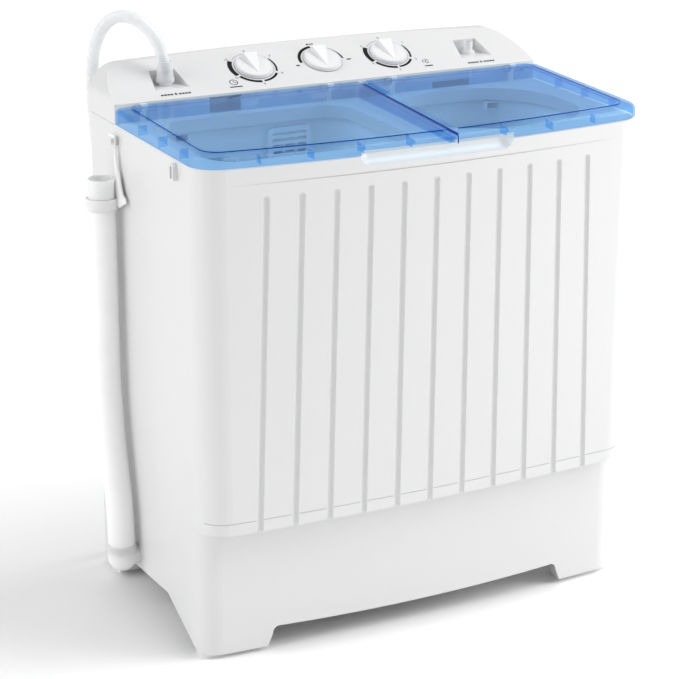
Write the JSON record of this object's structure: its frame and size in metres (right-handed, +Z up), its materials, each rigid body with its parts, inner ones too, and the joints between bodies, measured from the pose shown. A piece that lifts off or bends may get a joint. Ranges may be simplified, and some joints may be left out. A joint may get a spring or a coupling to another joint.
{
  "type": "twin tub washer",
  "caption": "Upright washing machine with a wash tub and a spin tub side by side, blue lids, a sloping dial console, a separate base and hoses.",
  "frame": {"origin": "on the floor, under the centre of the cabinet", "axes": "+Z up, the front faces -Y, the wash tub is at -X and the spin tub at +X"},
  "size_m": [0.6395, 0.414, 0.7439],
  "materials": {
    "white_plastic": "satin gloss moulded",
    "deck_plastic": "satin moulded",
    "blue_lid": "clear tinted blue",
    "dial_plastic": "satin gloss",
    "pad_rubber": "matt, light grey",
    "rubber": "matt",
    "steel": "zinc plated",
    "motor_metal": "stoved enamel",
    "pulley_metal": "cast",
    "pulley_plastic": "glass filled nylon",
    "basket_plastic": "satin moulded",
    "grey_plastic": "fine texture",
    "dark_plastic": "satin",
    "nozzle_plastic": "satin",
    "hose_white": "soft vinyl",
    "hose_clear": "translucent vinyl",
    "connector_plastic": "moulded"
  },
  "bodies": {
    "cabinet": {"cabinet_shell": "white_plastic", "base": "white_plastic", "top_deck": "white_plastic", "console": "white_plastic", "side_clip": "white_plastic", "hanger_peg": "white_plastic", "wash_tub": "deck_plastic", "spin_tub": "deck_plastic", "overflow_cover": "deck_plastic", "inlet_chutes": "deck_plastic", "bearing_housing": "deck_plastic", "drain_valve": "deck_plastic", "drain_pipes": "deck_plastic", "foot_pads": "pad_rubber", "shaft_seal": "rubber", "spin_seal": "rubber", "spin_motor_mounts": "rubber", "drive_belt": "rubber", "rear_panel_screws": "steel", "lid_hinge_pins": "steel", "shaft_bearings": "steel", "wash_motor": "motor_metal", "spin_motor": "motor_metal", "motor_bracket": "motor_metal", "rear_panel": "grey_plastic", "wash_timer_case": "dark_plastic", "selector_switch": "dark_plastic", "spin_timer_case": "dark_plastic", "cable_gland": "dark_plastic", "motor_capacitors": "dark_plastic", "inlet_nozzles": "nozzle_plastic", "drain_hose": "hose_white", "drain_hose_outlet": "hose_white", "hose_hanger": "hose_white", "drain_port": "hose_white", "inlet_hose": "hose_clear", "inlet_hose_sleeve": "hose_clear", "tap_connector": "connector_plastic"},
    "wash_lid_body": {"wash_lid": "blue_lid"},
    "spin_lid_body": {"spin_lid": "blue_lid"},
    "wash_timer_dial": {"wash_timer_knob": "dial_plastic", "wash_timer_shaft": "dark_plastic"},
    "selector_dial": {"selector_knob": "dial_plastic", "selector_shaft": "dark_plastic"},
    "spin_timer_dial": {"spin_timer_knob": "dial_plastic", "spin_timer_shaft": "dark_plastic"},
    "pulsator_body": {"pulsator": "deck_plastic", "pulsator_screw": "steel", "pulsator_shaft": "steel", "wash_pulley": "pulley_plastic"},
    "wash_rotor_body": {"wash_motor_rotor": "steel", "motor_pulley": "pulley_metal"},
    "basket_body": {"spin_basket": "basket_plastic", "spin_shaft": "steel", "brake_drum": "pulley_metal"},
    "press_plate_body": {"press_plate": "deck_plastic"},
    "brake_body": {"brake_lever": "steel"},
    "plunger_body": {"drain_plunger": "rubber"},
    "filter_body": {"lint_filter": "grey_plastic"}
  },
  "joints": [
    {"name": "wash_lid_hinge", "type": "hinge", "parent": "cabinet", "child": "wash_lid_body", "pos_m": [-0.135, 0.0865, 0.64], "axis": [-1, 0, 0], "range_deg": [0, 95]},
    {"name": "spin_lid_hinge", "type": "hinge", "parent": "cabinet", "child": "spin_lid_body", "pos_m": [0.173, 0.0865, 0.64], "axis": [-1, 0, 0], "range_deg": [0, 95]},
    {"name": "brake_lever_pivot", "type": "hinge", "parent": "cabinet", "child": "brake_body", "pos_m": [0.236, 0.022, 0.219], "axis": [0, 0, 1], "range_deg": [0, 1.2]},
    {"name": "wash_timer_turn", "type": "hinge", "parent": "cabinet", "child": "wash_timer_dial", "pos_m": [-0.092, 0.1339, 0.66398], "axis": [0, 0.4126, -0.9109], "range_deg": [0, 290]},
    {"name": "selector_turn", "type": "hinge", "parent": "cabinet", "child": "selector_dial", "pos_m": [0.005, 0.1339, 0.66398], "axis": [0, 0.4126, -0.9109], "range_deg": [0, 90]},
    {"name": "spin_timer_turn", "type": "hinge", "parent": "cabinet", "child": "spin_timer_dial", "pos_m": [0.1015, 0.1339, 0.66398], "axis": [0, 0.4126, -0.9109], "range_deg": [0, 270]},
    {"name": "pulsator_spin", "type": "hinge", "parent": "cabinet", "child": "pulsator_body", "pos_m": [-0.132, -0.03, 0.2], "axis": [0, 0, 1], "continuous": true},
    {"name": "wash_motor_spin", "type": "hinge", "parent": "cabinet", "child": "wash_rotor_body", "pos_m": [-0.132, 0.105, 0.112], "axis": [0, 0, 1], "continuous": true},
    {"name": "basket_spin", "type": "hinge", "parent": "cabinet", "child": "basket_body", "pos_m": [0.155, -0.03, 0.3], "axis": [0, 0, 1], "continuous": true},
    {"name": "press_plate_lift", "type": "slide", "parent": "basket_body", "child": "press_plate_body", "axis": [0, 0, 1], "range_m": [0, 0.15]},
    {"name": "drain_plunger_lift", "type": "slide", "parent": "cabinet", "child": "plunger_body", "axis": [0, 0, 1], "range_m": [0, 0.008]},
    {"name": "lint_filter_lift", "type": "slide", "parent": "cabinet", "child": "filter_body", "axis": [0, 0, 1], "range_m": [0, 0.025]}
  ],
  "couplings": [
    {"joint": "wash_motor_spin", "follows": "pulsator_spin", "ratio": 5.0769},
    {"joint": "brake_lever_pivot", "follows": "spin_lid_hinge", "ratio": 0.010526},
    {"joint": "drain_plunger_lift", "follows": "selector_turn", "m_per_rad": 0.005}
  ]
}
